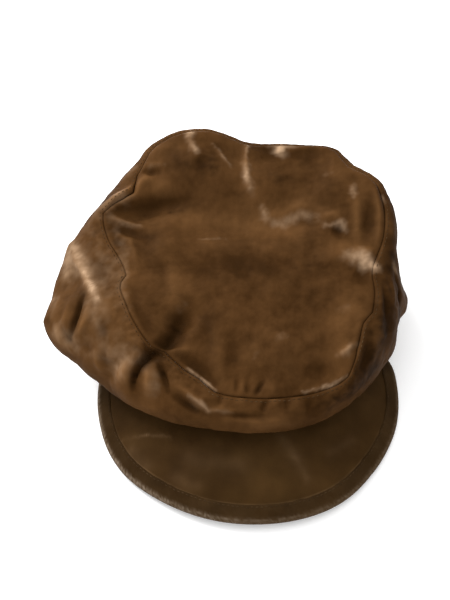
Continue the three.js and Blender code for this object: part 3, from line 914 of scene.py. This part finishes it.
def wrinkles(places, seed):
    """The heights of the wrinkles at places on the cap. Each panel has a seed of its own."""
    return sum(
        high * crumple(places * np.array(drawn), size, octaves, seed + own_seed)
        for high, size, octaves, own_seed, drawn in WRINKLES
    )


def wandered(places):
    """Places moved a little, so that the edges of the wear, stains and painted light and shade run
    unevenly.
    """
    (far, far_size), (near, near_size) = WANDERS
    return np.array([
        Vector(p) + far * noise.noise_vector(Vector(p) / far_size)
        + near * noise.noise_vector(Vector(p) / near_size)
        for p in places
    ])


def stained(places, table):
    """The strengths of a table of soft-edged marks at places on the cap, added up."""
    total = np.zeros(len(places))
    for wide, strength, line in table:
        gap, along = near_line(places, line)
        total += strength * faded_ends(along, STAIN_END, 0.6) / (1 + (gap / wide) ** 2) ** STAIN_TAIL
    return total


def crown_marks(places, relief):
    """How pale, dark and rubbed the cotton is, with painted highlights and painted light, and painted
    shade in its creases, dents and on its shaded side.
    """
    near = wandered(places)
    uneven = 0.85 + 0.6 * crumple(places, 6, 3, 6)
    return {
        # Bleached wear, with painted highlights on lit ridges and puffs.
        "faded_and_highlit": np.clip(stained(near, PALE_WEAR_AND_HIGHLIGHTS) * uneven - 0.06, 0, 1),
        # Stains, and painted shade: in the charted creases, hollows and shaded right side, and wherever
        # the relief dips into a dent or crease.
        "stained_and_shaded": np.clip(stained(near, DARK_STAINS_AND_SHADE) * uneven + np.clip(-relief / 9, 0, 0.3), 0, 1),
        # Lighter on raised folds, as rubbed cloth and painted highlight, with golden fade and painted
        # light on the lit left wall.
        "crest_and_light": np.clip(relief / 3.5 + stained(near, GOLDEN_FADE_AND_LIGHT), -0.3, 1),
    }


SEAM_DIP = 0.6
SEAM_DIP_WIDE = 0.8

# The puckers begin and end this far from the seam, and are strongest between these angles.
PUCKERS_START = (0.5, 3)
PUCKERS_END = (9, 13)
LEFT_STARTS = (150, 175)
LEFT_ENDS = (240, 262)


def seam_dip(from_seam):
    """The narrow groove that the seam draws into the cloth on both sides of it."""
    return SEAM_DIP * np.exp(-((from_seam / SEAM_DIP_WIDE) ** 2))


def side_relief(u, v, places):
    """The folds and wrinkles of the panel, with puckers below the seam, most of them at the left."""
    degrees, down = u * 360, v * 2
    seam = side_place(degrees, down * 0)
    from_seam = np.linalg.norm(places - seam, axis=1)
    left = smooth(degrees, *LEFT_STARTS) * (1 - smooth(degrees, *LEFT_ENDS))
    puckered = (1 - smooth(from_seam, *PUCKERS_END)) * smooth(from_seam, *PUCKERS_START)
    hold = smooth(down, 0, 0.06) * smooth(2 - down, 0, 0.3)
    high = fold_heights(places) + wrinkles(places, 1)
    high = hold * high + puckered * (0.25 + 0.55 * left) * crumple(places, 4.2, 2, 4)
    return high - seam_dip(from_seam)


def side_marks(u, v, places):
    return crown_marks(places, side_relief(u, v, places))


crown_cotton = dyed_cotton(
    "crown_cotton", (0.0235, 0.0098, 0.0026, 1), (0.054, 0.023, 0.0066, 1),
    (0.128, 0.06, 0.021, 1), (0.38, 0.25, 0.152, 1), 0.6,
)
side_bm = woven_grid(
    columns=480, rows=96, face=side_face, size=(640, 110), marks=side_marks, relief=side_relief,
)
crown_side_cloth = sewn_piece(
    "crown_side_cloth", side_bm, crown_cotton, ["crown_side"], CLOTH_WALL,
)

# Top panel of the crown.
# A flat oval of the same cotton, sewn to the side panel all round. It is puffed up at the back,
# has a hollow across its middle, and slopes down smoothly to the peak.

TOP_REACH = 100  # unit of the places and sizes of the dents
SEAM_EVEN = 5  # folds die away this close to the seam

# Dents: right, back, long, wide, turn in degrees, and up in the crown's unit of height.
TOP_DENTS = (
    (0.0, 0.66, 0.62, 0.2, 0, 0.12),
    (-0.36, 0.86, 0.26, 0.16, -15, 0.1),
    (0.6, 0.5, 0.3, 0.16, 70, 0.06),
    (-0.72, 0.5, 0.32, 0.1, 12, -0.13),
    (0.05, 0.36, 0.55, 0.12, 4, -0.07),
    (-0.55, 0.22, 0.3, 0.14, 80, 0.07),
    (0.05, -0.1, 0.5, 0.34, 0, 0.03),
    (-0.42, -0.36, 0.16, 0.1, 35, -0.12),
    (0.6, 0.08, 0.2, 0.1, 25, 0.05),
)

corner_r, corner_z = seam_place(np.array([0.0, 90.0, 180.0, 270.0]))
TOP_MIDDLE = np.array([
    (corner_r[0] - corner_r[2]) / 2,
    (corner_r[1] - corner_r[3]) / 2,
    corner_z.mean(),
])


def top_place(degrees, share, roll=1):
    """The panel's outer face: from its middle (0) to the seam (1), with or without the back roll."""
    radius, height = seam_place(degrees, roll)
    seam = polar(degrees, radius, height)
    place = TOP_MIDDLE + (seam - TOP_MIDDLE) * share[:, None]
    rolled = roll * back_roll(degrees)
    over = np.clip(1 - radius * (1 - share) / ROLL_WIDE, 0, 1)
    edge = seam[:, 2] + ROLL_HIGH * rolled
    place[:, 2] = TOP_MIDDLE[2] + (edge - TOP_MIDDLE[2]) * share ** 2
    place[:, 2] -= ROLL_HIGH * rolled * (1 - np.sqrt(1 - over ** 2)) * share ** 2
    x, y = place[:, 0] / TOP_REACH, place[:, 1] / TOP_REACH
    for right, back, long, wide, turn, up in TOP_DENTS:
        c, s = math.cos(math.radians(turn)), math.sin(math.radians(turn))
        along = ((x - right) * c + (y - back) * s) / long
        across = ((y - back) * c - (x - right) * s) / wide
        place[:, 2] += CROWN_RISE * up * swell(along, across) * smooth(1 - share, 0, SEAM_HOLD)
    return place


def disc(u, v):
    """Angle and share of a disc from the two shares of a square, ring by ring."""
    x, y = 2 * u - 1, 2 * v - 1
    share = np.maximum(np.abs(x), np.abs(y))
    safe = np.maximum(share, 1e-9)
    wide = np.abs(x) >= np.abs(y)
    degrees = np.where(wide, np.where(x >= 0, 0, 180) + 45 * y / safe * np.sign(x),
                       np.where(y >= 0, 90, 270) - 45 * x / safe * np.sign(y))
    return degrees, share


def top_face(u, v):
    return top_place(*disc(u, v))


def top_relief(u, v, places):
    degrees, share = disc(u, v)
    from_seam = seam_place(degrees)[0] * (1 - share)
    high = fold_heights(top_place(degrees, share, roll=0)) + wrinkles(places, 2)
    return smooth(from_seam, 0, SEAM_EVEN) * high - seam_dip(from_seam)


def top_marks(u, v, places):
    return crown_marks(top_place(*disc(u, v), roll=0), top_relief(u, v, places))


top_bm = woven_grid(
    columns=220, rows=220, face=top_face, size=(200, 200), marks=top_marks, relief=top_relief,
    closed=False, upright=True,
)
crown_top_cloth = sewn_piece(
    "crown_top_cloth", top_bm, crown_cotton, ["crown_top"], CLOTH_WALL,
)

# Peak.
# A thin board cut to a half moon, covered on both sides with the same cotton and sewn to the front
# of the band. It is slightly arched, and lifts the front of the cap off the table.

PEAK_REACH = 53.5  # in front of the band, to the rim of the board
PEAK_WIDTH = 206
PEAK_BOARD = 2.4
PEAK_WIDEST = 0.27  # share of the opening's length in front of its middle
PEAK_ROOT_HALF = 74  # degrees each side of the front
PEAK_RIM_HALF = 108  # degrees each side of the front, round the rim's own middle
PEAK_ROOT_UP = 3
PEAK_ARCH = 5
PEAK_CAMBER = 3
PEAK_DRIFT = 4  # moves the front of the rim to the right
PEAK_SWAY = 0.8  # moves all of it but its ends to the left
PEAK_SQUARENESS = 2.06  # 2 is an ellipse
PEAK_END = 0.9  # from here to its corners the rim is drawn in
PEAK_END_CUT = 0.15
PEAK_UNEVEN = 0.35
PEAK_LINE_IN = 0.6  # from the binding to the painted highlight line along it
PEAK_LINE_WIDE = 0.7
BINDING_WIDTH = 9.5
BINDING_WALL = 1
BINDING_MOST = 0.8  # most of the board's reach that the binding covers
BINDING_HALF = PEAK_BOARD / 2 + SEAM_GAP + BINDING_WALL


def peak_place(side, share):
    """The middle of the board: side -1 to 1 along it, share 0 at the band to 1 at the rim."""
    root_at = 270 + side * PEAK_ROOT_HALF
    root = polar(root_at, head_radius(root_at, BAND_WALL + SEAM_GAP), band_lift(root_at) + PEAK_ROOT_UP)
    rim_at = np.radians(side * PEAK_RIM_HALF)
    power = 2 / PEAK_SQUARENESS
    widest_at = PEAK_WIDEST * HEAD_LENGTH
    forward = HEAD_LENGTH / 2 + BAND_WALL + PEAK_REACH - widest_at
    ahead = np.maximum(0, np.cos(rim_at))
    along, across = np.cos(rim_at), np.sin(rim_at)
    drift = PEAK_DRIFT * smooth(ahead, 0.6, 0.95) - PEAK_SWAY * smooth(ahead, 0.2, 0.5)
    rim = np.stack([
        PEAK_WIDTH / 2 * np.sign(across) * np.abs(across) ** power + drift,
        -widest_at - forward * np.sign(along) * np.abs(along) ** power,
        BINDING_HALF + PEAK_ARCH * ahead ** 2,
    ], -1)
    corner = 1 - PEAK_END_CUT * smooth(np.abs(side), PEAK_END, 1) ** 2
    place = root + (rim - root) * (share * corner)[:, None]
    place[:, 2] += PEAK_CAMBER * 4 * share * np.maximum(0, 1 - share) * (1 - side * side)
    return place


def peak_face(u, v):
    place = peak_place(2 * u - 1, v)
    place[:, 2] += PEAK_BOARD / 2
    return place


# Faint marks on the peak: half width in millimetres, strength, and the line.
PEAK_WEAR = lines_seen((
    (1.3, 0.34, (122, 441), (138, 437), (148, 435)),
    (1.2, 0.24, (148, 435), (158, 435), (170, 438)),
    (5, 0.12, (282, 438), (294, 456)),
    (4, 0.14, (294, 456), (306, 478)),
    (6, 0.16, (130, 455), (142, 475)),
    (8, 0.13, (190, 460), (240, 466)),
    (5, 0.1, (330, 452), (352, 440)),
    (6, 0.12, (176, 478), (196, 486)),
), ("peak",))


def peak_marks(u, v, places):
    """How worn the peak is, with a painted highlight along the inner edge of its binding, and painted
    light near the band that lifts the shade under the crown.
    """
    pale = 0
    near = wandered(places)
    for wide, strength, line in PEAK_WEAR:
        gap, along = near_line(near, line)
        pale = pale + strength / (1 + (gap / wide) ** 2) ** 2
    side = 2 * u - 1
    to_rim = np.linalg.norm(peak_place(side, side * 0 + 1) - peak_place(side, v), axis=1)
    # A painted highlight: a pale line along the binding's raised inner edge, strongest at the front.
    edge = np.exp(-(((to_rim - BINDING_WIDTH - PEAK_LINE_IN) / PEAK_LINE_WIDE) ** 2))
    edge = edge * smooth(0.8 - np.abs(side + 0.02), 0, 0.4)
    # Stain tone, made lighter near the band by painted light that lifts the shade under the crown.
    stained_and_shaded = 0.36 + 0.4 * crumple(places, 24, 3, 8) - 0.34 * (1 - smooth(v, 0.1, 0.55))
    return {
        "faded_and_highlit": np.clip(pale + 0.28 * edge, 0, 1),
        "stained_and_shaded": np.clip(stained_and_shaded, 0, 1),
        "crest_and_light": edge * 0.8,
    }


def peak_relief(u, v, places):
    return PEAK_UNEVEN * crumple(places, 26, 3, 9)


peak_cotton = dyed_cotton(
    "peak_cotton", (0.032, 0.0152, 0.0048, 1), (0.05, 0.025, 0.0078, 1),
    (0.07, 0.0365, 0.0118, 1), (0.2, 0.12, 0.06, 1), 0.55,
)
peak_bm = woven_grid(
    columns=240, rows=60, face=peak_face, size=(360, 62), marks=peak_marks, relief=peak_relief,
    closed=False, upright=True,
)
bmesh.ops.reverse_faces(peak_bm, faces=[f for f in peak_bm.faces if f.normal.z < 0])
sewn_piece("peak_cloth", peak_bm, peak_cotton, ["peak"], PEAK_BOARD)

# Binding of the peak.
# A strip of the same cotton, folded round the rim of the board and sewn through from above. Its
# stitches pull small waves into it, and its nose is rubbed pale, most of all on the left.

# Its outline, from its upper inner edge round the nose: the share of its width inwards, the height
# above the board's middle, and the share of the nose outwards.
BINDING_OUTLINE = (
    (1.0, 1.3, 0), (0.99, 1.62, 0), (0.95, 1.85, 0), (0.85, 1.95, 0), (0.7, 1.98, 0), (0.55, 2.05, 0),
    (0.4, 2.1, 0), (0.25, 2.1, 0), (0.12, 2.05, 0), (0.03, 1.9, 0.2), (0, 1.6, 0.6), (0, 1.1, 0.85),
    (0, 0.5, 0.98), (0, 0, 1), (0, -0.7, 0.95), (0, -1.4, 0.75), (0, -2.0, 0.4), (0.04, -2.4, 0),
    (0.5, -2.5, 0), (1.0, -2.5, 0), (1.0, -1.5, 0), (0.1, -1.5, 0), (0.1, 1.25, 0), (0.99, 1.25, 0),
)
BINDING_NOSE_WIDE = SEAM_GAP + BINDING_WALL
BINDING_STATIONS = 360
BINDING_LONG = 380  # the strip's length
OUTLINE_STEP = 1.2  # cloth between two points of the outline
WAVE_HIGH = 0.16
WAVE_WIDE = 0.35


def binding_place(side, inward, height, out):
    """A place on the binding, with the small waves that its stitches pull into it."""
    reach = np.linalg.norm(peak_place(side, side * 0 + 1) - peak_place(side, side * 0), axis=1)
    width = np.minimum(BINDING_WIDTH, BINDING_MOST * reach)
    waves = crumple(np.stack([side * 170, inward * 3, height * 2], -1), 5.5, 2, 11)
    waved = np.where(height > 1.3, 1, 0) * np.minimum(1, inward * 3)
    share = 1 - (inward * (width + WAVE_WIDE * waves) - out * BINDING_NOSE_WIDE) / reach
    place = peak_place(side, share)
    place[:, 2] += height + WAVE_HIGH * waves * waved
    return place


def binding_grid():
    """The outline of the binding, carried round the rim and closed at both ends."""
    count = len(BINDING_OUTLINE)
    made, flat = flat_grid(BINDING_STATIONS, count)
    side = flat[:, 0]
    row = np.round((flat[:, 1] + 1) / 2 * count).astype(int)
    charted(made, side * BINDING_LONG / 2, row * OUTLINE_STEP)
    inward, height, out = np.array(BINDING_OUTLINE)[row % count].T
    places = binding_place(side, inward, height, out)
    rubbed = crumple(places, 1.3, 2, 12)
    low_left = smooth(-side, -0.1, 0.4)
    rim = np.maximum(smooth(out, 0.3, 0.9), smooth(-inward, -0.16, -0.04) * (height > 0))
    marks = {
        "faded_and_highlit": np.clip(rim * (0.16 + 0.34 * low_left) * (0.7 + 1.5 * rubbed), 0, 1),
        "stained_and_shaded": np.clip(0.3 + 0.4 * crumple(places, 16, 2, 13) - rim * 0.3, 0, 1),
        "crest_and_light": np.clip(rim * 0.6 + 0.3 * rubbed, 0, 1),
    }
    shaped(made, places, marks)
    bmesh.ops.remove_doubles(made, verts=made.verts, dist=SAME_PLACE)
    bmesh.ops.holes_fill(made, edges=[e for e in made.edges if e.is_boundary], sides=0)
    bmesh.ops.recalc_face_normals(made, faces=made.faces)
    return made


binding_cotton = dyed_cotton(
    "binding_cotton", (0.0225, 0.011, 0.0036, 1), (0.038, 0.0195, 0.0066, 1),
    (0.066, 0.04, 0.0195, 1), (0.19, 0.145, 0.105, 1), 0.65,
)
sewn_piece("peak_binding_cloth", binding_grid(), binding_cotton, ["peak_binding"])

# Stitches.
# Two rows of brown cotton thread, sewn by machine. One holds the binding to the peak, and the other
# runs round the side panel just below the top seam and holds down the cloth turned in behind it.

STITCH_LONG = 2.3
STITCH_WIDE = 0.5
STITCH_STRAY = 0.15
BINDING_PITCH = 3.1
BINDING_LINE = (0.84, 1.97)  # share of the binding's width inwards, and height
BINDING_LINE_ENDS = 0.985
SEAM_PITCH = 3.2
SEAM_STITCH_IN = 2.3
SEAM_STITCH_MOST = 0.12  # share of the panel within which that row is looked for


def stitch_row(name, path, pitch, finish):
    """Short raised stitches along a path of places, each one a small rounded bead of thread."""
    steps = np.linalg.norm(np.diff(path, axis=0), axis=1)
    run = np.concatenate([[0], np.cumsum(steps)])
    starts = np.arange(pitch * 0.5, run[-1] - pitch * 0.5, pitch)
    thread = bmesh.new()
    for k, at in enumerate(starts):
        a, b = [
            Vector([np.interp(at + d, run, path[:, axis]) for axis in range(3)])
            for d in (-0.5, 0.5)
        ]
        way = (b - a).normalized()
        turn = way.to_track_quat("X", "Z").to_matrix().to_4x4()
        drift = Vector((0, 0, 1)).cross(way) * (STITCH_STRAY * math.sin(k * 2.4))
        place = Matrix.Translation(((a + b) / 2 + drift) * MM + HEAD_AXIS)
        long, wide = STITCH_LONG / 2 * MM, STITCH_WIDE / 2 * MM
        shape = Matrix.Diagonal((long, wide, wide, 1))
        bmesh.ops.create_icosphere(thread, subdivisions=1, radius=1, matrix=place @ turn @ shape)
    sewn_piece(name, thread, finish)


cotton_thread = Finish("cotton_thread")
thread_place = cotton_thread.node("ShaderNodeTexCoord", output=3)
worn = cotton_thread.node("ShaderNodeTexNoise", {}, {"Vector": thread_place, "Scale": 60, "Detail": 3})
thread_colour = cotton_thread.blend(
    ((worn - 0.45) * 4).held(), (0.03, 0.016, 0.006, 1), (0.075, 0.043, 0.019, 1),
)
thread_finish = cotton_thread.surface({
    "Base Color": thread_colour, "Roughness": 0.7, "Specular IOR Level": 0.05,
})
line_side = np.linspace(-BINDING_LINE_ENDS, BINDING_LINE_ENDS, 700)
inward, height = [line_side * 0 + value for value in BINDING_LINE]
binding_line = binding_place(line_side, inward, height, line_side * 0)
stitch_row("binding_stitches", binding_line, BINDING_PITCH, thread_finish)

round_turn = np.linspace(0, 1, 1440)
seam_line = side_face(round_turn, round_turn * 0)
down_share = np.linspace(0, SEAM_STITCH_MOST, 60)
from_seam_line = np.array([
    np.linalg.norm(side_face(round_turn, round_turn * 0 + down) - seam_line, axis=1)
    for down in down_share
])
seam_down = np.array([np.interp(SEAM_STITCH_IN, gaps, down_share) for gaps in from_seam_line.T])
seam_path = pressed(side_face, side_relief, round_turn, seam_down)
stitch_row("crown_seam_stitches", seam_path, SEAM_PITCH, thread_finish)
